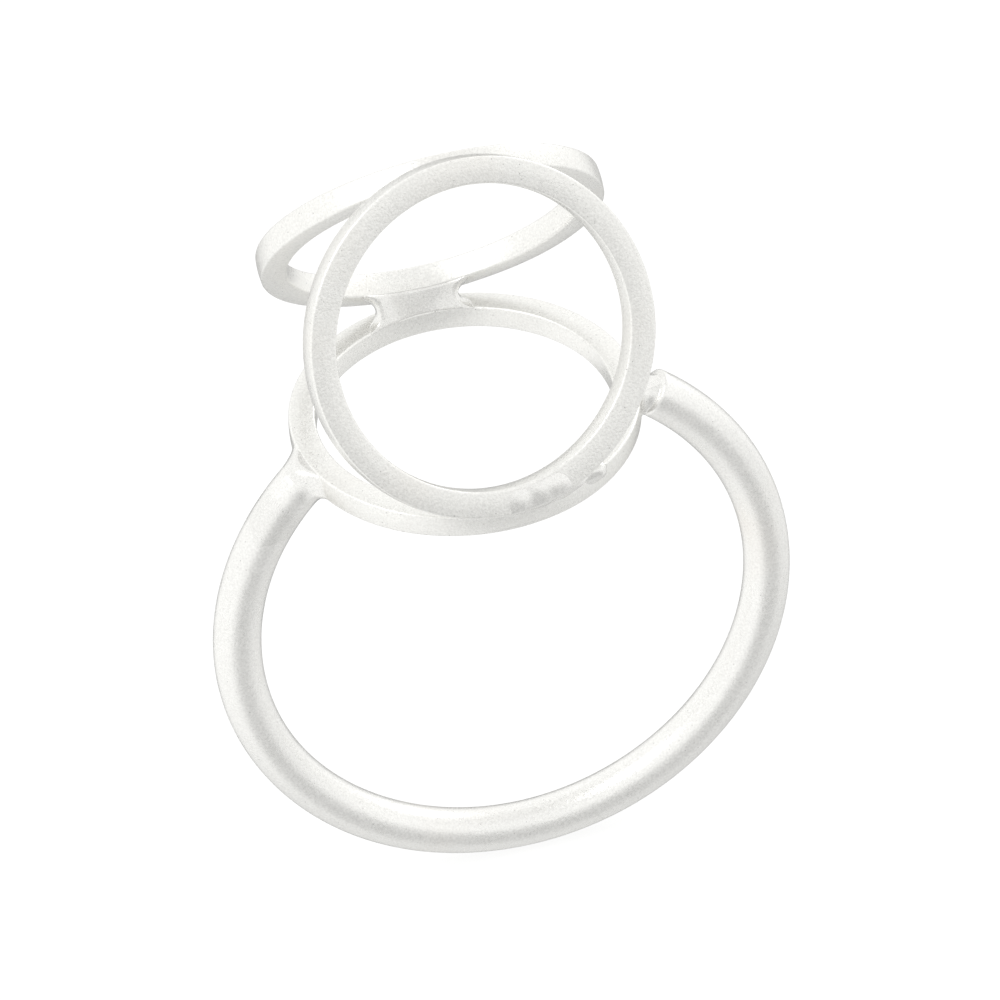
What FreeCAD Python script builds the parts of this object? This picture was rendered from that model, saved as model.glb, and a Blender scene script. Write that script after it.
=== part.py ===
import FreeCAD, Part
import Sketcher
import math
import os

# Open three-hoop finger ring, in millimetres.
# The origin is the centre of the finger opening. The finger passes along Y, +Z points up to
# the head, and X runs across the finger from one solder joint of the shank to the other.
# A round wire, the shank, is bent to an open circle. A flat hoop, the base, closes it on
# top. Two more hoops of the same size stand on the base's front and back rims and lean
# together until they touch, so that the three make a tent. Solder holds every joint.

DIMENSIONS = {
    "finger_bore": 17.35,
    "wire_dia": 1.65,
    "right_end_angle": 38.3,
    "left_end_angle": 42.5,
    "hoop_outer_dia": 12.0,
    "hoop_inner_dia": 10.2,
    "hoop_height": 0.85,
    "edge_round": 0.14,
    "head_offset_x": -0.4,
    "head_offset_y": 1.1,
    "head_offset_z": 7.57,
    "head_pitch": 6.4,
    "front_lean": 62.3,
    "back_lean": 56.5,
    "front_twist": 8.2,
    "seat_gap": 0.06,
    "front_bead_length": 5.6,
    "front_bead_thickness": 1.2,
    "back_web_length": 4.0,
    "back_web_thickness": 1.5,
    "back_web_inset": 0.35,
    "back_web_rise": 0.25,
    "top_bead_length": 2.2,
    "top_bead_thickness": 0.7,
    "flare_width": 3.4,
    "flare_reach": 1.7,
    "butt_width": 1.9,
    "butt_reach": 0.75,
    "solder_root": 0.6,
}

X_AXIS = FreeCAD.Vector(1, 0, 0)
Y_AXIS = FreeCAD.Vector(0, 1, 0)
Z_AXIS = FreeCAD.Vector(0, 0, 1)


def make_sheet(doc):
    sheet = doc.addObject("Spreadsheet::Sheet", "dimensions")
    for row, (alias, value) in enumerate(DIMENSIONS.items(), start=1):
        sheet.set(f"A{row}", alias)
        sheet.set(f"B{row}", str(value))
        sheet.setAlias(f"B{row}", alias)
    doc.recompute()
    return sheet


def origin_plane(body, role):
    for feature in body.Origin.OriginFeatures:
        if feature.Role == role:
            return feature
    raise ValueError(role)


def make_body(doc, label, role):
    """A body with one empty sketch on the origin plane of the given role."""
    body = doc.addObject("PartDesign::Body", label)
    body.Label = label
    sketch = body.newObject("Sketcher::SketchObject", label + "_section")
    sketch.AttachmentSupport = [(origin_plane(body, role), "")]
    sketch.MapMode = "FlatFace"
    return body, sketch


def bind(sketch, kind, first, second, guess, name, formula):
    """A named distance from the sketch's origin to a point, bound to the sheet."""
    index = sketch.addConstraint(Sketcher.Constraint(kind, -1, 1, first, second, guess))
    sketch.renameConstraint(index, name)
    sketch.setExpression("Constraints." + name, formula)


def make_shank(doc, sheet):
    """Round wire turned about Y, left open at the top between its two cut ends."""
    body, sketch = make_body(doc, "shank", "XY_Plane")
    radius = (sheet.finger_bore + sheet.wire_dia) / 2
    circle = Part.Circle(FreeCAD.Vector(radius, 0, 0), Z_AXIS, sheet.wire_dia / 2)
    sketch.addGeometry(circle, False)
    bind(sketch, "DistanceX", 0, 3, radius, "bend_radius",
         "(dimensions.finger_bore + dimensions.wire_dia) / 2")
    sketch.addConstraint(Sketcher.Constraint("PointOnObject", 0, 3, -1))
    index = sketch.addConstraint(Sketcher.Constraint("Diameter", 0, sheet.wire_dia))
    sketch.renameConstraint(index, "wire")
    sketch.setExpression("Constraints.wire", "dimensions.wire_dia")
    turn = body.newObject("PartDesign::Revolution", "shank_turn")
    turn.Profile = sketch
    turn.ReferenceAxis = (sketch, ["V_Axis"])
    turn.setExpression("Angle", "360 - dimensions.right_end_angle - dimensions.left_end_angle")
    body.Placement = FreeCAD.Placement(
        FreeCAD.Vector(), FreeCAD.Rotation(Y_AXIS, sheet.right_end_angle - 90))
    return body


def make_hoop(doc, sheet, label, placement):
    """Flat hoop of rectangular section with softened edges, turned about its own Z."""
    body, sketch = make_body(doc, label, "XZ_Plane")
    inner = sheet.hoop_inner_dia / 2
    outer = sheet.hoop_outer_dia / 2
    half = sheet.hoop_height / 2
    corners = [(inner, -half), (outer, -half), (outer, half), (inner, half)]
    for start, end in zip(corners, corners[1:] + corners[:1]):
        line = Part.LineSegment(FreeCAD.Vector(*start, 0), FreeCAD.Vector(*end, 0))
        sketch.addGeometry(line, False)
    for side in range(len(corners)):
        following = (side + 1) % len(corners)
        sketch.addConstraint(Sketcher.Constraint("Coincident", side, 2, following, 1))
        direction = "Vertical" if side % 2 else "Horizontal"
        sketch.addConstraint(Sketcher.Constraint(direction, side))
    bind(sketch, "DistanceX", 0, 1, inner, "inner_radius", "dimensions.hoop_inner_dia / 2")
    bind(sketch, "DistanceX", 1, 1, outer, "outer_radius", "dimensions.hoop_outer_dia / 2")
    bind(sketch, "DistanceY", 2, 1, half, "upper_face", "dimensions.hoop_height / 2")
    bind(sketch, "DistanceY", 0, 1, -half, "lower_face", "-dimensions.hoop_height / 2")
    turn = body.newObject("PartDesign::Revolution", label + "_turn")
    turn.Profile = sketch
    turn.ReferenceAxis = (sketch, ["V_Axis"])
    turn.Angle = 360
    doc.recompute()
    edges = [f"Edge{i}" for i, edge in enumerate(turn.Shape.Edges, start=1)
             if isinstance(edge.Curve, Part.Circle) and edge.isClosed()
             and edge.Curve.Radius > half]
    softened = body.newObject("PartDesign::Fillet", label + "_softened")
    softened.Base = (turn, edges)
    softened.setExpression("Radius", "dimensions.edge_round")
    body.Tip = softened
    body.Placement = placement
    return body


def head_placement(sheet):
    """The base hoop's frame: its centre and its slight pitch about X."""
    centre = FreeCAD.Vector(sheet.head_offset_x, sheet.head_offset_y, sheet.head_offset_z)
    return FreeCAD.Placement(centre, FreeCAD.Rotation(X_AXIS, sheet.head_pitch))


def leaning_placement(sheet, head, side, lean, twist):
    """A hoop standing on the base's rim at the given side of Y, leaning to the middle.

    side is -1 at the front and +1 at the back; lean is the angle to the base; twist turns
    the hoop about its own upright diameter. The hoop's lower inner edge stands just clear
    of the rim's upper edge.
    """
    radius = sheet.hoop_outer_dia / 2
    half = sheet.hoop_height / 2
    rim = FreeCAD.Vector(0, side * radius, half + sheet.seat_gap)
    tip_up = FreeCAD.Placement(rim, FreeCAD.Rotation(X_AXIS, -side * lean))
    stand = FreeCAD.Placement(FreeCAD.Vector(0, -side * radius, half), FreeCAD.Rotation())
    turned = FreeCAD.Placement(FreeCAD.Vector(), FreeCAD.Rotation(Y_AXIS, twist))
    return head.multiply(tip_up).multiply(stand).multiply(turned)


def minus(doc, shape_object, tools, label):
    """The object with each tool's shape taken away, so that they meet face to face."""
    result = shape_object
    for number, tool in enumerate(tools, start=1):
        cut = doc.addObject("Part::Cut", f"{label}_fitted_{number}")
        cut.Base = result
        cut.Tool = tool
        result = cut
    result.Label = label
    return result


def make_bead(doc, sheet, label, thickness, length, placement, neighbours):
    """Solder bead: a round bar across X, fitted round the pieces that it joins."""
    bar = doc.addObject("Part::Cylinder", label + "_bar")
    bar.setExpression("Radius", f"dimensions.{thickness} / 2")
    bar.setExpression("Height", f"dimensions.{length}")
    across = FreeCAD.Placement(FreeCAD.Vector(), FreeCAD.Rotation(Y_AXIS, 90))
    middle = FreeCAD.Placement(Z_AXIS * (-sheet.get(length) / 2), FreeCAD.Rotation())
    bar.Placement = placement.multiply(across).multiply(middle)
    return minus(doc, bar, neighbours, label)


def make_flare(doc, sheet, label, side, end_angle, reach, width, neighbours):
    """Solder between a cut end of the wire and the base hoop's outer wall.

    It grows from a small circle inside the wire to an ellipse just inside the wall.
    """
    bend = (sheet.finger_bore + sheet.wire_dia) / 2
    spread = end_angle + math.degrees(reach / bend)
    turn = FreeCAD.Rotation(Y_AXIS, side * spread)
    root = doc.addObject("Part::Circle", label + "_root")
    root.setExpression("Radius", "dimensions.solder_root")
    root.Placement = FreeCAD.Placement(
        turn.multVec(Z_AXIS * bend), turn.multiply(FreeCAD.Rotation(Y_AXIS, 90)))

    hoop_radius = sheet.hoop_outer_dia / 2
    chord = math.sqrt(hoop_radius ** 2 - sheet.head_offset_y ** 2)
    wall_x = sheet.head_offset_x + side * (chord - sheet.edge_round)
    wall_drop = sheet.head_offset_y * math.tan(math.radians(sheet.head_pitch))
    mouth = doc.addObject("Part::Ellipse", label + "_mouth")
    mouth.setExpression("MajorRadius", f"dimensions.{width} / 2")
    mouth.setExpression("MinorRadius", "dimensions.hoop_height / 2 - dimensions.edge_round / 2")
    upright = FreeCAD.Rotation(Y_AXIS, 90).multiply(FreeCAD.Rotation(Z_AXIS, 90))
    mouth.Placement = FreeCAD.Placement(
        FreeCAD.Vector(wall_x, 0, sheet.head_offset_z - wall_drop), upright)

    loft = doc.addObject("Part::Loft", label + "_loft")
    loft.Sections = [root, mouth]
    loft.Solid = True
    loft.Ruled = False
    return minus(doc, loft, neighbours, label)


def check(doc, parts):
    for item in doc.Objects:
        if "Invalid" in item.State or "Error" in item.State:
            raise RuntimeError(f"{item.Name} failed: {item.State}")
    for part in parts:
        shape = part.Shape
        if shape.isNull() or not shape.isValid() or shape.Volume <= 0:
            raise RuntimeError(f"{part.Label} has no valid solid")
        print(part.Label, "solids", len(shape.Solids), "volume", round(shape.Volume, 4))


def main():
    doc = FreeCAD.newDocument("three_hoop_ring")
    sheet = make_sheet(doc)
    head = head_placement(sheet)

    shank = make_shank(doc, sheet)
    base = make_hoop(doc, sheet, "base_hoop", head)
    front_place = leaning_placement(sheet, head, -1, sheet.front_lean, sheet.front_twist)
    back_place = leaning_placement(sheet, head, 1, sheet.back_lean, 0)
    front = make_hoop(doc, sheet, "front_hoop", front_place)
    back = make_hoop(doc, sheet, "back_hoop", back_place)
    doc.recompute()

    radius = sheet.hoop_outer_dia / 2
    half = sheet.hoop_height / 2
    front_seam = head.multVec(FreeCAD.Vector(0, -radius, half))
    back_seam = head.multVec(FreeCAD.Vector(0, radius - sheet.back_web_inset, half + sheet.back_web_rise))
    top_seam = back_place.multVec(FreeCAD.Vector(0, -radius, -half))
    parts = [
        shank,
        base,
        front,
        back,
        make_flare(doc, sheet, "shank_solder_left", -1, sheet.left_end_angle,
                   sheet.flare_reach, "flare_width", [base, shank]),
        make_flare(doc, sheet, "shank_solder_right", 1, sheet.right_end_angle,
                   sheet.butt_reach, "butt_width", [base, shank]),
        make_bead(doc, sheet, "front_solder", "front_bead_thickness", "front_bead_length",
                  FreeCAD.Placement(front_seam, head.Rotation), [base, front]),
        make_bead(doc, sheet, "back_solder", "back_web_thickness", "back_web_length",
                  FreeCAD.Placement(back_seam, head.Rotation), [base, back]),
        make_bead(doc, sheet, "top_solder", "top_bead_thickness", "top_bead_length",
                  FreeCAD.Placement(top_seam, head.Rotation), [front, back]),
    ]
    doc.recompute()
    check(doc, parts)
    os.makedirs("parts", exist_ok=True)
    for part in parts:
        part.Shape.exportStep(f"parts/{part.Label}.step")


main()
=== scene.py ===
import math

import bmesh
import bpy
import numpy as np
from mathutils import Matrix, Vector


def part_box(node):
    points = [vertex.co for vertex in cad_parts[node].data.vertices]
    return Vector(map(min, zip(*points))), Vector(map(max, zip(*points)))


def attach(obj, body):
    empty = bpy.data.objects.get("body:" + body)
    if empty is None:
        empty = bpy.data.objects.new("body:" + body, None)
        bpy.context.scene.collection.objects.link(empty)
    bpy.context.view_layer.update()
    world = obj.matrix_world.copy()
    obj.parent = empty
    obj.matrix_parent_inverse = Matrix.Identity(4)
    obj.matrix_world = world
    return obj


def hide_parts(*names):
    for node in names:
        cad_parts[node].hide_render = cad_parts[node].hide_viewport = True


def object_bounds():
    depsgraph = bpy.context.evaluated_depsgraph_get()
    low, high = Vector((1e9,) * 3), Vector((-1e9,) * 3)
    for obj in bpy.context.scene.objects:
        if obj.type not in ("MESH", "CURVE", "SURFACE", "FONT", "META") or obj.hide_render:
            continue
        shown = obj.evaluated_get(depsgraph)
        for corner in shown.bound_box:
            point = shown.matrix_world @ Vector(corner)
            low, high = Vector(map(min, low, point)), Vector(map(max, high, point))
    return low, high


# Open three-hoop finger ring in matte silver plate. Metres, in the CAD frame: the finger passes
# along Y, the head of three hoops is at +Z. The hoops and the wire are measured on the CAD nodes,
# and the solder is placed from them.

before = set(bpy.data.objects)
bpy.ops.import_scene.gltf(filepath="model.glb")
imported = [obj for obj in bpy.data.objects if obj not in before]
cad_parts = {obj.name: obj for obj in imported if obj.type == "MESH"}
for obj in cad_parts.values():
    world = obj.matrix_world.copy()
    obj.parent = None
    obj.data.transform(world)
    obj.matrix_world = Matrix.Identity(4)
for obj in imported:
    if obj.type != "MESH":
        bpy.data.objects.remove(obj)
cad_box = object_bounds()

MM = 0.001
# How often a hoop's centre is measured again along the axis that was just found.
CENTRING_ROUNDS = 3

# ---------------------------------------------------------------- measuring the frame


def node_points(node):
    """The vertices of a CAD node's mesh."""
    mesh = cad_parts[node].data
    points = np.zeros(len(mesh.vertices) * 3)
    mesh.vertices.foreach_get("co", points)
    return points.reshape(-1, 3)


class Hoop:
    """A hoop's own frame: centre, axis, upright and sideways directions, and its sizes."""

    def __init__(self, node, inward):
        points = node_points(node)
        self.centre = (points.min(0) + points.max(0)) / 2
        for _ in range(CENTRING_ROUNDS):
            offsets = points - self.centre
            axis = np.linalg.svd(offsets, full_matrices=False)[2][2]
            depth = offsets @ axis
            radial = offsets - np.outer(depth, axis)
            self.centre = self.centre + axis * (depth.max() + depth.min()) / 2
        self.axis = axis if axis @ inward > 0 else -axis
        distance = np.linalg.norm(radial, axis=1)
        self.outer = distance.max()
        self.inner = distance.min()
        self.height = depth.max() - depth.min()
        side = np.array([1.0, 0.0, 0.0])
        side = side - self.axis * (side @ self.axis)
        self.side = side / np.linalg.norm(side)
        self.up = np.cross(self.axis, self.side)

    def point(self, radius, angle, depth):
        """A point at the given radius, angle from the side direction, and depth along the axis."""
        ring = math.cos(angle) * self.side + math.sin(angle) * self.up
        return self.centre + radius * ring + depth * self.axis


def unit(vector):
    """The direction of a vector."""
    return vector / np.linalg.norm(vector)


TENT_MIDDLE = (node_points("front_hoop").mean(0) + node_points("back_hoop").mean(0)
               + node_points("base_hoop").mean(0)) / 3


def measured_hoop(node):
    """The hoop's frame, with its axis pointing into the tent."""
    return Hoop(node, TENT_MIDDLE - node_points(node).mean(0))


BASE = measured_hoop("base_hoop")
FRONT = measured_hoop("front_hoop")
BACK = measured_hoop("back_hoop")

shank_points = node_points("shank")
WIRE_RADIUS = shank_points[:, 1].max()
BEND_RADIUS = shank_points[:, 0].max() - WIRE_RADIUS
centreline = np.degrees(np.arctan2(shank_points[:, 0], shank_points[:, 2]))
RIGHT_END = centreline[centreline > 0].min()
LEFT_END = -centreline[centreline < 0].max()

# ---------------------------------------------------------------- hand-made unevenness


FIRST_WAVE = 2
WAVE_WEIGHTS = (0.4, 1.0)
LUMP_WAVES = 14
LUMP_FREQUENCIES = (0.6, 1.6)


def ripple(count, amplitude, seed):
    """A smooth periodic function of an angle, made of a few low waves with set phases."""
    rng = np.random.default_rng(seed)
    waves = np.arange(FIRST_WAVE, FIRST_WAVE + count)
    phases = rng.uniform(0, 2 * math.pi, count)
    weights = rng.uniform(*WAVE_WEIGHTS, count) / waves
    return lambda angle: amplitude * sum(
        weight * np.sin(wave * angle + phase)
        for wave, phase, weight in zip(waves, phases, weights))


def lumps(points, size, amplitude, seed):
    """Smooth solid noise at each point: a sum of plane waves in random directions."""
    rng = np.random.default_rng(seed)
    total = np.zeros(len(points))
    for _ in range(LUMP_WAVES):
        direction = unit(rng.normal(size=3)) * rng.uniform(*LUMP_FREQUENCIES) * 2 * math.pi / size
        total += np.sin(points @ direction + rng.uniform(0, 2 * math.pi))
    return amplitude * total / math.sqrt(LUMP_WAVES)


# ---------------------------------------------------------------- meshes


def mesh_piece(name, points, faces, node, material):
    """A smooth-shaded mesh that rides on the root body and replaces a CAD node."""
    mesh = bpy.data.meshes.new(name)
    mesh.from_pydata([tuple(p) for p in points], [], faces)
    mesh.validate()
    builder = bmesh.new()
    builder.from_mesh(mesh)
    bmesh.ops.recalc_face_normals(builder, faces=builder.faces)
    builder.to_mesh(mesh)
    builder.free()
    for polygon in mesh.polygons:
        polygon.use_smooth = True
    piece = bpy.data.objects.new(name, mesh)
    bpy.context.scene.collection.objects.link(piece)
    mesh.materials.append(material)
    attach(piece, "root")
    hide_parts(node)
    return piece


def grid_faces(rows, columns, closed_rows):
    """Quads over rows of points, each row a closed loop; the rows may close on themselves."""
    faces = []
    last = rows if closed_rows else rows - 1
    for i in range(last):
        j = (i + 1) % rows
        for k in range(columns):
            n = (k + 1) % columns
            faces.append((i * columns + k, i * columns + n, j * columns + n, j * columns + k))
    return faces


def capped_loft(loops):
    """Points and faces of a closed solid through the given loops, with flat fan ends."""
    rows, columns = len(loops), len(loops[0])
    points = [p for loop in loops for p in loop]
    faces = grid_faces(rows, columns, False)
    for row in (0, rows - 1):
        middle = len(points)
        points.append(np.mean(loops[row], axis=0))
        for k in range(columns):
            faces.append((row * columns + k, row * columns + (k + 1) % columns, middle))
    return points, faces


CORNER_STEPS = 7
FACE_STEPS = 12


def rounded_section(half_width, half_height, rounding, dome):
    """Outline of a flat bar with soft corners and slightly domed long faces."""
    outline = []
    corners = [(1, 1), (-1, 1), (-1, -1), (1, -1)]
    for index, (sx, sy) in enumerate(corners):
        for step in range(CORNER_STEPS + 1):
            angle = math.radians(90 * (index + step / CORNER_STEPS))
            outline.append((sx * (half_width - rounding) + rounding * math.cos(angle),
                            sy * (half_height - rounding) + rounding * math.sin(angle)))
        following = corners[(index + 1) % 4]
        for step in range(1, FACE_STEPS):
            share = (1 - math.cos(math.pi * step / FACE_STEPS)) / 2
            x = (1 - share) * sx + share * following[0]
            y = (1 - share) * sy + share * following[1]
            bulge = dome * math.sin(math.pi * share)
            px = x * half_width if sx == following[0] else x * (half_width - rounding)
            py = y * half_height if sy == following[1] else y * (half_height - rounding)
            px += bulge * sx if sx == following[0] else 0
            py += bulge * sy if sy == following[1] else 0
            outline.append((px, py))
    return outline


HOOP_STEPS = 320
EDGE_ROUND = 0.085 * MM
FACE_DOME = 0.020 * MM
OUT_OF_ROUND = 0.025 * MM
OUT_OF_ROUND_WAVES = 4
FILING = 0.012 * MM
FILING_WAVES = 9
# How far round the hoop the filing of its faces is shifted from the filing of its walls.
FILING_SHIFT = 1.3


def hoop_piece(node, hoop, material, seed):
    """A hoop swept round its axis, with the slight unevenness of hand filing."""
    mean_radius = (hoop.outer + hoop.inner) / 2
    half_width = (hoop.outer - hoop.inner) / 2
    outline = rounded_section(half_width, hoop.height / 2, EDGE_ROUND, FACE_DOME)
    out_of_round = ripple(OUT_OF_ROUND_WAVES, OUT_OF_ROUND, seed)
    filed = ripple(FILING_WAVES, FILING, seed + 1)
    points = []
    for step in range(HOOP_STEPS):
        angle = 2 * math.pi * step / HOOP_STEPS
        for width, depth in outline:
            radius = mean_radius + width * (1 + filed(angle) / hoop.height) + out_of_round(angle)
            face = depth + filed(angle + FILING_SHIFT) * np.sign(depth)
            points.append(hoop.point(radius, angle, face))
    faces = grid_faces(HOOP_STEPS, len(outline), True)
    return mesh_piece(node + "_metal", points, faces, node, material)


WIRE_STEPS = 360
WIRE_SIDES = 64
CUT_BEVEL = 0.05 * MM
WIRE_WAVES = 7
WIRE_UNEVENNESS = 0.02 * MM
WIRE_SEED = 31


def shank_point(degrees, radius, around):
    """A point on the wire: degrees from +Z about Y, at an angle around its centreline."""
    turn = math.radians(degrees)
    outward = np.array([math.sin(turn), 0.0, math.cos(turn)])
    across = np.array([0.0, 1.0, 0.0])
    return (BEND_RADIUS * outward
            + radius * (math.cos(around) * outward + math.sin(around) * across))


def shank_tangent(degrees):
    """Unit direction along the wire as the angle grows."""
    turn = math.radians(degrees)
    return np.array([math.cos(turn), 0.0, -math.sin(turn)])


def shank_piece(material):
    """Round wire with flat-cut, barely bevelled ends."""
    sweep = 360 - RIGHT_END - LEFT_END
    bevel_turn = math.degrees(CUT_BEVEL / BEND_RADIUS)
    uneven = ripple(WIRE_WAVES, WIRE_UNEVENNESS, WIRE_SEED)
    stations = [(RIGHT_END, WIRE_RADIUS - CUT_BEVEL)]
    for step in range(WIRE_STEPS + 1):
        degrees = RIGHT_END + bevel_turn + (sweep - 2 * bevel_turn) * step / WIRE_STEPS
        stations.append((degrees, WIRE_RADIUS + uneven(math.radians(degrees))))
    stations.append((RIGHT_END + sweep, WIRE_RADIUS - CUT_BEVEL))
    loops = []
    for degrees, radius in stations:
        around = np.linspace(0, 2 * math.pi, WIRE_SIDES, endpoint=False)
        loops.append([shank_point(degrees, radius, angle) for angle in around])
    points, faces = capped_loft(loops)
    return mesh_piece("shank_wire", points, faces, "shank", material)


# ---------------------------------------------------------------- solder

# Each fill is the zero surface of a distance field. All but the back web hold a core of the two
# metals that they join, set back by a hair so that only the solder shows, and blended into each
# other and into a few drops of solder. The web is the notch between two hoops, cut hollow.

SET_BACK = 0.012 * MM


def hoop_field(hoop):
    """Distance to a hoop with rounded edges."""
    mean_radius = (hoop.outer + hoop.inner) / 2
    half_width = (hoop.outer - hoop.inner) / 2

    def distance(points):
        offsets = points - hoop.centre
        depth = offsets @ hoop.axis
        radius = np.linalg.norm(offsets - np.outer(depth, hoop.axis), axis=1)
        across = np.abs(radius - mean_radius) - (half_width - EDGE_ROUND)
        along = np.abs(depth) - (hoop.height / 2 - EDGE_ROUND)
        outside = np.hypot(np.maximum(across, 0), np.maximum(along, 0))
        return outside + np.minimum(np.maximum(across, along), 0) - EDGE_ROUND + SET_BACK

    return distance


def wire_field(end_degrees, side):
    """Distance to the wire near one flat-cut end; side is 1 for the right end, -1 for the left."""
    end = shank_point(side * end_degrees, 0.0, 0.0)
    beyond = -side * shank_tangent(side * end_degrees)

    def distance(points):
        bend = np.hypot(points[:, 0], points[:, 2])
        torus = np.hypot(bend - BEND_RADIUS, points[:, 1]) - WIRE_RADIUS
        return np.maximum(torus, (points - end) @ beyond) + SET_BACK

    return distance


def rod_field(start, end, start_radius, end_radius):
    """Distance to a round rod with different end radii."""
    start, end = np.array(start), np.array(end)
    length = np.linalg.norm(end - start)
    direction = (end - start) / length

    def distance(points):
        share = np.clip((points - start) @ direction / length, 0, 1)
        nearest = start + np.outer(share * length, direction)
        radius = start_radius + (end_radius - start_radius) * share
        return np.linalg.norm(points - nearest, axis=1) - radius

    return distance


LEAST_REACH = 1e-7


def blend(first, second, reach):
    """Smooth union of two distances; reach is how far the fillet between them extends."""
    reach = np.maximum(reach, LEAST_REACH)
    share = np.maximum(reach - np.abs(first - second), 0) / reach
    return np.minimum(first, second) - share * share * reach / 4


def fade(values, start, end):
    """1 below start, 0 above end, smooth between."""
    share = np.clip((values - start) / (end - start), 0, 1)
    return 1 - share * share * (3 - 2 * share)


# The surface net: how often its points are pulled onto the surface, the share of a cell over which
# the slope is taken, the least squared slope that is trusted, and the cells at the box's rim that
# are left alone.
PULLS = 4
SLOPE_STEP = 0.05
LEAST_SLOPE = 0.2
RIM_CELLS = 1.6
GRID_AXES = range(3)


def cell_points(values, filled):
    """Sum and number of the surface crossings on the edges of each cell, in cell units."""
    counts = np.array(values.shape)
    total = np.zeros((*(counts - 1), 3))
    hits = np.zeros(counts - 1)
    for corner in [np.array(corner) for corner in np.ndindex(2, 2, 2)]:
        for axis in GRID_AXES:
            if corner[axis]:
                continue
            other = corner.copy()
            other[axis] = 1
            near = tuple(slice(corner[i], counts[i] - 1 + corner[i]) for i in GRID_AXES)
            far = tuple(slice(other[i], counts[i] - 1 + other[i]) for i in GRID_AXES)
            crossing = filled[near] != filled[far]
            share = values[near] / np.where(crossing, values[near] - values[far], 1)
            spot = np.broadcast_to(corner, (*crossing.shape, 3)).astype(float).copy()
            spot[..., axis] += share
            total += spot * crossing[..., None]
            hits += crossing
    return total, hits


def cell_quads(filled, number):
    """One quad round every grid edge that the surface crosses, facing out of the solid."""
    counts = filled.shape
    faces = []
    for axis in GRID_AXES:
        first, second = (axis + 1) % 3, (axis + 2) % 3
        near = [slice(None)] * 3
        far = [slice(None)] * 3
        near[axis], far[axis] = slice(0, -1), slice(1, None)
        crossing = np.argwhere(filled[tuple(near)] != filled[tuple(far)])
        above_rim = (crossing[:, first] > 0) & (crossing[:, second] > 0)
        below_rim = ((crossing[:, first] < counts[first] - 1)
                     & (crossing[:, second] < counts[second] - 1))
        crossing = crossing[above_rim & below_rim]
        quad = []
        for back_first, back_second in ((0, 0), (1, 0), (1, 1), (0, 1)):
            cell = crossing.copy()
            cell[:, first] -= back_first
            cell[:, second] -= back_second
            quad.append(number[tuple(cell.T)])
        quad = np.stack(quad, 1)
        leaving = filled[tuple(near)][tuple(crossing.T)]
        quad[~leaving] = quad[~leaving][:, ::-1]
        faces.extend(quad.tolist())
    return faces


def surface_net(field, low, high, step):
    """Closed mesh of the field's zero surface inside a box, pulled onto the surface."""
    low, high = np.array(low), np.array(high)
    counts = np.ceil((high - low) / step).astype(int) + 1
    axes = [low[i] + step * np.arange(counts[i]) for i in GRID_AXES]
    grid = np.stack(np.meshgrid(*axes, indexing="ij"), -1).reshape(-1, 3)
    values = field(grid).reshape(counts)
    for axis in GRID_AXES:
        edge = [slice(None)] * 3
        for place in (0, -1):
            edge[axis] = place
            values[tuple(edge)] = np.maximum(values[tuple(edge)], step / 2)
    filled = values < 0
    total, hits = cell_points(values, filled)
    used = hits > 0
    number = np.full(hits.shape, -1)
    number[used] = np.arange(used.sum())
    points = low + step * (np.argwhere(used) + total[used] / hits[used][:, None])
    top_rim = low + step * (counts - (1 + RIM_CELLS))
    rim = ((points < low + RIM_CELLS * step) | (points > top_rim)).any(1)
    for _ in range(PULLS):
        here = field(points)
        slope = np.stack([(field(points + nudge) - field(points - nudge)) / (2 * SLOPE_STEP * step)
                          for nudge in np.eye(3) * SLOPE_STEP * step], 1)
        move = -here[:, None] * slope / np.maximum((slope ** 2).sum(1), LEAST_SLOPE)[:, None]
        points = points + np.where(rim[:, None], 0, np.clip(move, -step / 2, step / 2))
    return points, cell_quads(filled, number)


def fill_piece(node, field, heart, below, above, step, material):
    """A solder fill meshed in the box that reaches below and above its heart, in millimetres."""
    low, high = heart - np.array(below) * MM, heart + np.array(above) * MM
    points, faces = surface_net(field, low, high, step)
    return mesh_piece(node + "_fill", points, faces, node, material)


def over_base(points, clearance):
    """How far each point is above the base hoop's top face."""
    return (points - BASE.centre) @ BASE.axis - BASE.height / 2 - clearance


def inside(points, hoop):
    """How deep each point is inside the cylinder of a hoop's opening."""
    offsets = points - hoop.centre
    radial = offsets - np.outer(offsets @ hoop.axis, hoop.axis)
    return hoop.inner + SET_BACK - np.linalg.norm(radial, axis=1)


def cut_back(first, second, reach=0.15 * MM):
    """Smooth overlap of two distances."""
    return -blend(-first, -second, reach)


def uneven_fill(points, joined, metals, zone, size, height, seed):
    """The joined distance with lumps where the fill stands clear of the metals by a zone."""
    active = np.clip((metals - joined) / zone, 0, 1)
    return joined + lumps(points, size, height, seed) * active


def wall_at_wire(side):
    """Where the base hoop's outer wall crosses the wire's plane."""
    return BASE.centre[0] + side * math.sqrt(BASE.outer ** 2 - BASE.centre[1] ** 2)


def seam_point(leaning, x, out, up):
    """A point near the seam: x, how far out past the base's wall, how far above its top."""
    side = 1 if leaning.centre[1] > BASE.centre[1] else -1
    angle = math.asin((x - BASE.centre[0]) / BASE.outer)
    forward = BASE.up if BASE.up[1] * side > 0 else -BASE.up
    ring = math.sin(angle) * BASE.side + math.cos(angle) * forward
    return BASE.centre + (BASE.outer + out) * ring + (BASE.height / 2 + up) * BASE.axis


# The metal that a shank fill leaves free inside the base hoop's opening.
OPENING_MARGIN = 0.3 * MM
# Lumps of a fill: the zone in which they fade in, their size, their height and a seed.
LEFT_LUMPS = (0.06 * MM, 1.4 * MM, 0.006 * MM, 41)
RIGHT_LUMPS = (0.06 * MM, 1.0 * MM, 0.008 * MM, 42)
FRONT_LUMPS = (0.08 * MM, 0.9 * MM, 0.006 * MM, 43)
TOP_LUMPS = (0.06 * MM, 0.8 * MM, 0.008 * MM, 45)

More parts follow.
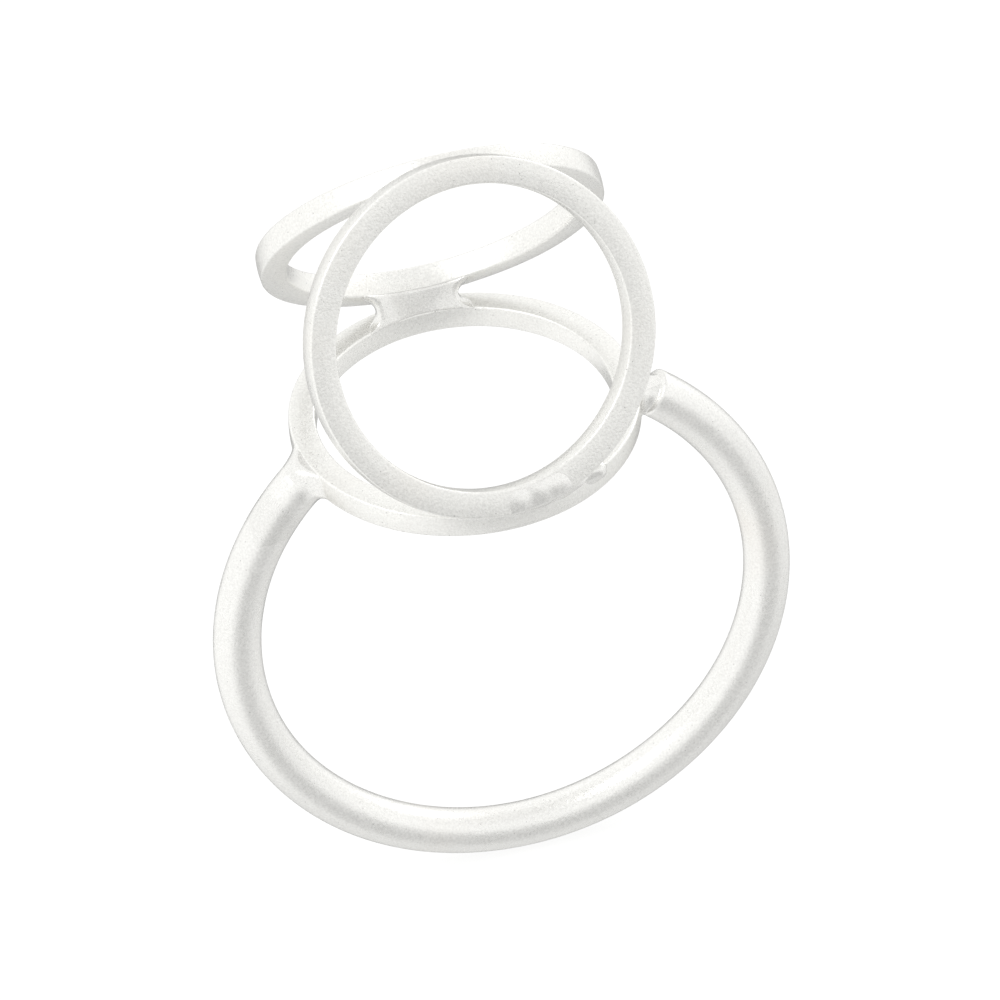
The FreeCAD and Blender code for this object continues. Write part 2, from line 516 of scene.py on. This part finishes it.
# The left joint: how many degrees the wire sinks past its cut, how far the fillet reaches and
# where it fades out, the slope of its top and how softly that is cut.
LEFT_SINK = 4.0
LEFT_REACH = 0.75 * MM
LEFT_FADE = (1.5 * MM, 2.5 * MM)
LEFT_SLANT = math.radians(22)
LEFT_SOFTNESS = 0.25 * MM
LEFT_HEART_IN = 0.1 * MM
LEFT_BOX = ((2.3, 2.2, 2.4), (1.0, 2.2, 1.0))
LEFT_STEP = 0.05 * MM


def left_fill(material):
    """The left joint: the wire runs smoothly into the base hoop's wall, level with its top."""
    wire = wire_field(LEFT_END - LEFT_SINK, -1)
    hoop = hoop_field(BASE)
    wall = wall_at_wire(-1)
    heart = np.array([wall + LEFT_HEART_IN, 0.0, BASE.centre[2]])
    edge = np.array([wall, 0.0, BASE.centre[2]]) + BASE.axis * BASE.height / 2
    slant = np.array([-math.sin(LEFT_SLANT), 0.0, math.cos(LEFT_SLANT)])

    def field(points):
        near = np.linalg.norm(points - heart, axis=1)
        parts = wire(points), hoop(points)
        joined = blend(*parts, LEFT_REACH * fade(near, *LEFT_FADE))
        joined = uneven_fill(points, joined, np.minimum(*parts), *LEFT_LUMPS)
        over = np.maximum(over_base(points, -SET_BACK), (points - edge) @ slant)
        held = np.maximum(joined, inside(points, BASE) + OPENING_MARGIN)
        return cut_back(held, over, LEFT_SOFTNESS)

    return fill_piece("shank_solder_left", field, heart, *LEFT_BOX, LEFT_STEP, material)


# The right joint: where its neck starts and ends, its radii as shares of the wire's, how far its
# fillets reach and fade out, and how far it stands over the base hoop's top.
NECK_START = 2.0
NECK_END_OUT = 0.2 * MM
NECK_END_DROP = 0.05 * MM
NECK_SHARES = (0.84, 0.70)
NECK_REACH = 0.45 * MM
NECK_FADE = (1.0 * MM, 1.6 * MM)
NECK_WIRE_REACH = 0.10 * MM
NECK_OVER = 0.03 * MM
RIGHT_BOX = ((1.0, 1.6, 1.5), (1.5, 1.6, 1.0))
RIGHT_STEP = 0.04 * MM


def right_fill(material):
    """The right joint: a bright neck of solder between the flat-cut wire and the wall."""
    wire = wire_field(RIGHT_END, 1)
    hoop = hoop_field(BASE)
    end = shank_point(RIGHT_END + NECK_START, 0.0, 0.0)
    heart = np.array([wall_at_wire(1) - NECK_END_OUT, 0.0, BASE.centre[2] - NECK_END_DROP])
    neck = rod_field(end, heart, WIRE_RADIUS * NECK_SHARES[0], WIRE_RADIUS * NECK_SHARES[1])

    def field(points):
        near = np.linalg.norm(points - heart, axis=1)
        joined = blend(neck(points), hoop(points), NECK_REACH * fade(near, *NECK_FADE))
        joined = blend(joined, wire(points), NECK_WIRE_REACH)
        metals = np.minimum(hoop(points), wire(points))
        joined = uneven_fill(points, joined, metals, *RIGHT_LUMPS)
        held = np.maximum(joined, inside(points, BASE) + OPENING_MARGIN)
        return np.maximum(held, over_base(points, NECK_OVER))

    return fill_piece("shank_solder_right", field, heart, *RIGHT_BOX, RIGHT_STEP, material)


# The front seam: its middle as x, out and up, its half length, where its fillet fades out, how
# far the fillet reaches between the hoops and round a drop.
FRONT_MIDDLE = (-0.2 * MM, -0.3 * MM, 0.1 * MM)
FRONT_HALF = 2.9 * MM
FRONT_FADE = (FRONT_HALF - 0.5 * MM, FRONT_HALF + 0.3 * MM)
FRONT_REACH = 0.30 * MM
DROP_REACH_SHARE = 0.8
FRONT_STEP = 0.045 * MM
FRONT_SIZE = (3.7, 1.7, 1.7)
# The bead along the front seam: x, out past the wall, up past the top, radius, in millimetres.
BEAD_STATIONS = (
    (-2.0, -0.25, 0.06, 0.14), (-1.3, -0.25, 0.10, 0.22), (-0.8, -0.24, 0.10, 0.18),
    (-0.3, -0.22, 0.12, 0.25), (0.2, -0.22, 0.12, 0.20), (0.7, -0.20, 0.14, 0.27),
    (1.1, -0.20, 0.15, 0.23), (1.5, -0.20, 0.18, 0.30), (2.1, -0.20, 0.12, 0.20))
# The drop at the seam's right end, in the same terms, and its length.
FRONT_DROP = (2.75, -0.20, 0.0, 0.33)
FRONT_DROP_LENGTH = 0.25
# Low mounds on the front hoop's face: turn from its lowest point, inset, radius and height.
MOUNDS = ((-5.5, 0.42, 0.60, 0.022), (-12, 0.40, 0.45, 0.007), (3, 0.40, 0.50, 0.007))
MOUND_LENGTH = 0.1


def front_drops():
    """Rods of solder at the front seam: an uneven bead behind the hoop, a drop and low mounds."""
    rods = []
    spots = [(seam_point(FRONT, x * MM, out * MM, up * MM), radius * MM)
             for x, out, up, radius in BEAD_STATIONS]
    for (near, near_radius), (far, far_radius) in zip(spots, spots[1:]):
        rods.append((near, far, near_radius, far_radius))
    x, out, up, radius = FRONT_DROP
    spot = seam_point(FRONT, x * MM, out * MM, up * MM)
    along = np.array([FRONT_DROP_LENGTH, 0.0, 0.0]) * MM
    rods.append((spot, spot + along, radius * MM, radius * MM))
    down = math.atan2(FRONT.up @ -BASE.axis, FRONT.side @ -BASE.axis)
    for turn, inset, radius, height in MOUNDS:
        spot = FRONT.point(FRONT.outer - inset * MM, down + math.radians(turn),
                           (radius - height) * MM - FRONT.height / 2)
        along = FRONT.side * MOUND_LENGTH * MM
        rods.append((spot, spot + along, radius * MM, radius * MM))
    return [rod_field(*rod) for rod in rods]


def front_fill(material):
    """The front seam: a fillet between the front and base hoops, with drops blended in."""
    base, hoop = hoop_field(BASE), hoop_field(FRONT)
    drops = front_drops()
    middle = seam_point(FRONT, *FRONT_MIDDLE)

    def field(points):
        near = fade(np.abs(points[:, 0] - middle[0]), *FRONT_FADE)
        metals = np.minimum(base(points), hoop(points))
        joined = blend(base(points), hoop(points), FRONT_REACH * near)
        for drop in drops:
            joined = blend(joined, drop(points), FRONT_REACH * DROP_REACH_SHARE)
        joined = uneven_fill(points, joined, metals, *FRONT_LUMPS)
        return cut_back(cut_back(joined, inside(points, BASE)), inside(points, FRONT))

    return fill_piece("front_solder", field, middle, FRONT_SIZE, FRONT_SIZE, FRONT_STEP, material)


# The back web: its middle, its half length, how far its feet spread and how high they reach,
# where its face crosses the notch, and how far it sinks into the hoops and back from their rims.
WEB_MIDDLE = -0.62 * MM
WEB_HEART = (WEB_MIDDLE, -0.45 * MM, 0.3 * MM)
WEB_HALF = 1.45 * MM
WEB_FOOT = 0.55 * MM
WEB_FOOT_HEIGHT = 0.10 * MM
WEB_CHORD = 0.33 * MM
WEB_SLOPE = 1.81
WEB_HOLLOW = 0.05 * MM
WEB_SINK = 0.05 * MM
WEB_RIM = 0.10 * MM
WEB_FACE_SOFTNESS = 0.12 * MM
WEB_END_SOFTNESS = 0.25 * MM
WEB_LUMPS = (1.6 * MM, 0.012 * MM, 44)
WEB_SIZE = (2.5, 1.3, 1.3)
WEB_STEP = 0.04 * MM


def back_fill(material):
    """The back web: a slightly hollow wall of solder in the notch under the back hoop.

    It runs from the base hoop's inner edge to the back hoop's, and its ends are hollow too.
    """
    heart = seam_point(BACK, *WEB_HEART)

    def field(points):
        above_base = over_base(points, 0.0)
        above_back = (points - BACK.centre) @ BACK.axis - BACK.height / 2
        notch = np.maximum(-above_base, -above_back) - WEB_SINK
        rims = np.maximum(-inside(points, BASE) + BASE.inner - BASE.outer,
                          -inside(points, BACK) + BACK.inner - BACK.outer) + WEB_RIM
        uneven = lumps(points, *WEB_LUMPS)
        chord = WEB_CHORD + inside(points, BASE) + inside(points, BACK)
        hollow = chord / WEB_SLOPE + WEB_HOLLOW
        nearest = np.maximum(np.minimum(above_base, above_back), 0)
        length = WEB_HALF + WEB_FOOT * np.exp(-nearest / WEB_FOOT_HEIGHT)
        ends = np.abs(points[:, 0] - WEB_MIDDLE) - length
        web = cut_back(np.maximum(notch, rims), hollow + uneven, WEB_FACE_SOFTNESS)
        return cut_back(web, ends + uneven * 2, WEB_END_SOFTNESS)

    return fill_piece("back_solder", field, heart, WEB_SIZE, WEB_SIZE, WEB_STEP, material)


# The top joint: how far its fillet reaches and fades out to each side.
TOP_REACH = 0.4 * MM
TOP_FADE = (0.5 * MM, 1.4 * MM)
TOP_SIZE = (2.0, 1.3, 1.3)
TOP_STEP = 0.045 * MM


def top_fill(material):
    """A small fillet where the front and back hoops touch."""
    front, back = hoop_field(FRONT), hoop_field(BACK)
    low, high = (np.array(corner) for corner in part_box("top_solder"))
    middle = (low + high) / 2

    def field(points):
        near = fade(np.abs(points[:, 0] - middle[0]), *TOP_FADE)
        metals = np.minimum(front(points), back(points))
        joined = blend(front(points), back(points), TOP_REACH * near)
        return uneven_fill(points, joined, metals, *TOP_LUMPS)

    return fill_piece("top_solder", field, middle, TOP_SIZE, TOP_SIZE, TOP_STEP, material)


# ---------------------------------------------------------------- materials


# Scales of the noises in cells per metre, shares of the colour, and the depth of the bumps.
BLOTCH_SCALE = 420
WARM_SCALE = 190
PIT_SCALE = 3200
GRAIN_DARKNESS = 0.86
PIT_DARKNESS = 0.35
TARNISH_SHARE = 0.30
GRAIN_BUMP = 0.85
BLOTCH_BUMP = 0.25
BLOTCH_DEPTH = 0.03 * MM


def silver(name, colour, tarnish, roughness, grain, grain_depth, pit_share):
    """Blasted silver plate: fine grain, soft blotches, small pits and a faint warm tarnish."""
    material = bpy.data.materials.new(name)
    material.use_nodes = True
    tree = material.node_tree
    shader = tree.nodes["Principled BSDF"]
    shader.inputs["Metallic"].default_value = 1.0
    place = tree.nodes.new("ShaderNodeTexCoord")

    def noise(scale, detail, rough):
        node = tree.nodes.new("ShaderNodeTexNoise")
        node.inputs["Scale"].default_value = scale
        node.inputs["Detail"].default_value = detail
        node.inputs["Roughness"].default_value = rough
        tree.links.new(place.outputs["Object"], node.inputs["Vector"])
        return node.outputs["Fac"]

    def spread(value, source, target):
        """The value, moved from the source range to the target range."""
        node = tree.nodes.new("ShaderNodeMapRange")
        node.inputs["From Min"].default_value, node.inputs["From Max"].default_value = source
        node.inputs["To Min"].default_value, node.inputs["To Max"].default_value = target
        tree.links.new(value, node.inputs["Value"])
        return node.outputs["Result"]

    def mixed(factor, first, second):
        """A mix of two colours, each a tuple or a socket."""
        node = tree.nodes.new("ShaderNodeMix")
        node.data_type = "RGBA"
        tree.links.new(factor, node.inputs["Factor"])
        for socket, value in (("A", first), ("B", second)):
            target = [s for s in node.inputs if s.name == socket and s.type == "RGBA"][0]
            if isinstance(value, tuple):
                target.default_value = (*value, 1)
            else:
                tree.links.new(value, target)
        return [s for s in node.outputs if s.type == "RGBA"][0]

    fine = noise(scale=grain, detail=3.0, rough=0.65)
    blotch = noise(scale=BLOTCH_SCALE, detail=4.0, rough=0.6)
    warm = noise(scale=WARM_SCALE, detail=2.0, rough=0.5)
    cells = tree.nodes.new("ShaderNodeTexVoronoi")
    cells.inputs["Scale"].default_value = PIT_SCALE
    tree.links.new(place.outputs["Object"], cells.inputs["Vector"])
    pits = spread(cells.outputs["Distance"], source=(0.0, pit_share), target=(1.0, 0.0))

    dark = tuple(c * GRAIN_DARKNESS for c in colour)
    base = mixed(spread(fine, source=(0.35, 0.65), target=(0.0, 1.0)), dark, colour)
    tarnished = spread(warm, source=(0.58, 0.78), target=(0.0, TARNISH_SHARE))
    base = mixed(tarnished, base, tarnish)
    base = mixed(pits, base, tuple(c * PIT_DARKNESS for c in colour))
    tree.links.new(base, shader.inputs["Base Color"])

    rough = tree.nodes.new("ShaderNodeMath")
    rough.operation = "ADD"
    grainy = spread(fine, source=(0.3, 0.7), target=(-0.05, 0.07))
    patchy = spread(blotch, source=(0.3, 0.7), target=(roughness - 0.05, roughness + 0.06))
    tree.links.new(grainy, rough.inputs[0])
    tree.links.new(patchy, rough.inputs[1])
    tree.links.new(rough.outputs[0], shader.inputs["Roughness"])

    bump = tree.nodes.new("ShaderNodeBump")
    bump.inputs["Strength"].default_value = GRAIN_BUMP
    bump.inputs["Distance"].default_value = grain_depth
    tree.links.new(fine, bump.inputs["Height"])
    sag = tree.nodes.new("ShaderNodeBump")
    sag.inputs["Strength"].default_value = BLOTCH_BUMP
    sag.inputs["Distance"].default_value = BLOTCH_DEPTH
    tree.links.new(blotch, sag.inputs["Height"])
    tree.links.new(bump.outputs["Normal"], sag.inputs["Normal"])
    tree.links.new(sag.outputs["Normal"], shader.inputs["Normal"])
    return material


WIRE_SILVER = silver("wire_silver", colour=(1.0, 0.995, 0.98), tarnish=(0.90, 0.84, 0.78),
                     roughness=0.30, grain=13000, grain_depth=0.012 * MM, pit_share=0.09)
HOOP_SILVER = silver("hoop_silver", colour=(1.0, 0.995, 0.975), tarnish=(0.92, 0.87, 0.81),
                     roughness=0.31, grain=13000, grain_depth=0.013 * MM, pit_share=0.10)
SOLDER_SILVER = silver("solder_silver", colour=(0.95, 0.945, 0.93), tarnish=(0.84, 0.80, 0.76),
                       roughness=0.24, grain=14000, grain_depth=0.006 * MM, pit_share=0.08)

# ---------------------------------------------------------------- the object

FIRST_HOOP_SEED = 11

shank_piece(WIRE_SILVER)
for seed, (node, hoop) in enumerate(
        (("base_hoop", BASE), ("front_hoop", FRONT), ("back_hoop", BACK)), start=FIRST_HOOP_SEED):
    hoop_piece(node, hoop, HOOP_SILVER, seed)
for solder_fill in (left_fill, right_fill, front_fill, back_fill, top_fill):
    solder_fill(SOLDER_SILVER)

# ---------------------------------------------------------------- camera, floor and light

CAMERA_AZIMUTH = math.radians(-11.2)
CAMERA_ELEVATION = math.radians(34.3)
CAMERA_ROLL = math.radians(-6.4)
CAMERA_DISTANCE = 179.7 * MM
CAMERA_LENS_MM = 186.3
CAMERA_SENSOR_MM = 36
CAMERA_CLIP = (0.005, 10)
AIM_RIGHT = -0.166 * MM
AIM_UP = 3.696 * MM


def camera_axes():
    """Right, up and back directions of the camera in the CAD frame."""
    back = Vector((math.sin(CAMERA_AZIMUTH) * math.cos(CAMERA_ELEVATION),
                   -math.cos(CAMERA_AZIMUTH) * math.cos(CAMERA_ELEVATION),
                   math.sin(CAMERA_ELEVATION)))
    level = Vector((math.cos(CAMERA_AZIMUTH), math.sin(CAMERA_AZIMUTH), 0))
    upright = back.cross(level)
    right = math.cos(CAMERA_ROLL) * level + math.sin(CAMERA_ROLL) * upright
    up = -math.sin(CAMERA_ROLL) * level + math.cos(CAMERA_ROLL) * upright
    return right, up, back


def make_camera():
    """A long lens aimed a little off the origin, rolled to the side."""
    right, up, back = camera_axes()
    data = bpy.data.cameras.new("camera")
    data.lens = CAMERA_LENS_MM
    data.sensor_width = CAMERA_SENSOR_MM
    data.clip_start, data.clip_end = CAMERA_CLIP
    camera = bpy.data.objects.new("camera", data)
    bpy.context.scene.collection.objects.link(camera)
    aim = right * AIM_RIGHT + up * AIM_UP
    place = Matrix((right, up, back)).transposed().to_4x4()
    place.translation = aim + back * CAMERA_DISTANCE
    camera.matrix_world = place
    bpy.context.scene.camera = camera


FLOOR_HALF = 1.5
FLOOR_SHADE = 0.25
FLOOR_GLOW = 0.80
FLOOR_ROUGHNESS = 0.9
FLOOR_SPECULAR = 0.1


def make_floor():
    """A plain white light table under the ring, which the metal doesn't mirror."""
    low = cad_box[0][2]
    size = FLOOR_HALF
    mesh = bpy.data.meshes.new("floor")
    mesh.from_pydata([(-size, -size, low), (size, -size, low), (size, size, low),
                      (-size, size, low)], [], [(0, 1, 2, 3)])
    floor = bpy.data.objects.new("floor", mesh)
    bpy.context.scene.collection.objects.link(floor)
    material = bpy.data.materials.new("floor_white")
    material.use_nodes = True
    shader = material.node_tree.nodes["Principled BSDF"]
    shader.inputs["Base Color"].default_value = (FLOOR_SHADE, FLOOR_SHADE, FLOOR_SHADE, 1)
    shader.inputs["Roughness"].default_value = FLOOR_ROUGHNESS
    shader.inputs["Specular IOR Level"].default_value = FLOOR_SPECULAR
    shader.inputs["Emission Color"].default_value = (1, 1, 1, 1)
    shader.inputs["Emission Strength"].default_value = FLOOR_GLOW
    mesh.materials.append(material)
    floor.visible_glossy = False


# Dim parts of the tent: heading, outer and inner angle in degrees, and what is left of the light.
DIM_PATCHES = (
    ((0.10, -0.93, -0.32), 50, 8, 0.60),
    ((0.16, 0.88, -0.47), 44, 16, 0.40),
    ((0.82, -0.20, -0.55), 50, 15, 0.84),
    ((0.10, 0.10, -1.00), 55, 15, 0.76),
    ((0.10, -0.30, 0.95), 45, 10, 0.88))
TENT_STRENGTH = 1.06
TENT_COLOUR = (1.0, 1.0, 0.985, 1)


def make_world():
    """Soft white tent light, dimmer round the camera's stand and behind the ring."""
    world = bpy.data.worlds.new("tent")
    bpy.context.scene.world = world
    world.use_nodes = True
    tree = world.node_tree
    background = tree.nodes["Background"]
    place = tree.nodes.new("ShaderNodeTexCoord")

    def product(first, second):
        """The product of a socket and either another socket or a number."""
        node = tree.nodes.new("ShaderNodeMath")
        node.operation = "MULTIPLY"
        tree.links.new(first, node.inputs[0])
        if isinstance(second, float):
            node.inputs[1].default_value = second
        else:
            tree.links.new(second, node.inputs[1])
        return node.outputs[0]

    level = None
    for heading, start, end, depth in DIM_PATCHES:
        facing = tree.nodes.new("ShaderNodeVectorMath")
        facing.operation = "DOT_PRODUCT"
        facing.inputs[1].default_value = Vector(heading).normalized()
        tree.links.new(place.outputs["Generated"], facing.inputs[0])
        patch = tree.nodes.new("ShaderNodeMapRange")
        patch.interpolation_type = "SMOOTHSTEP"
        patch.inputs["From Min"].default_value = math.cos(math.radians(start))
        patch.inputs["From Max"].default_value = math.cos(math.radians(end))
        patch.inputs["To Min"].default_value = 1.0
        patch.inputs["To Max"].default_value = depth
        tree.links.new(facing.outputs["Value"], patch.inputs["Value"])
        dimmed = patch.outputs["Result"]
        level = dimmed if level is None else product(level, dimmed)
    tree.links.new(product(level, TENT_STRENGTH), background.inputs["Strength"])
    background.inputs["Color"].default_value = TENT_COLOUR


# Square lights: name, place and side in metres, and watts.
LIGHTS = (
    ("key", (-0.25, -0.10, 0.40), 0.18, 0.22),
    ("rim", (0.35, 0.20, 0.25), 0.15, 0.14))


def area_light(name, place, size, watts):
    """A square light that faces the origin."""
    data = bpy.data.lights.new(name, "AREA")
    data.size = size
    data.energy = watts
    light = bpy.data.objects.new(name, data)
    light.location = place
    light.rotation_euler = (-Vector(place)).to_track_quat("-Z", "Y").to_euler()
    bpy.context.scene.collection.objects.link(light)


make_camera()
make_floor()
make_world()
for light in LIGHTS:
    area_light(*light)
bpy.context.scene.view_settings.view_transform = "Standard"
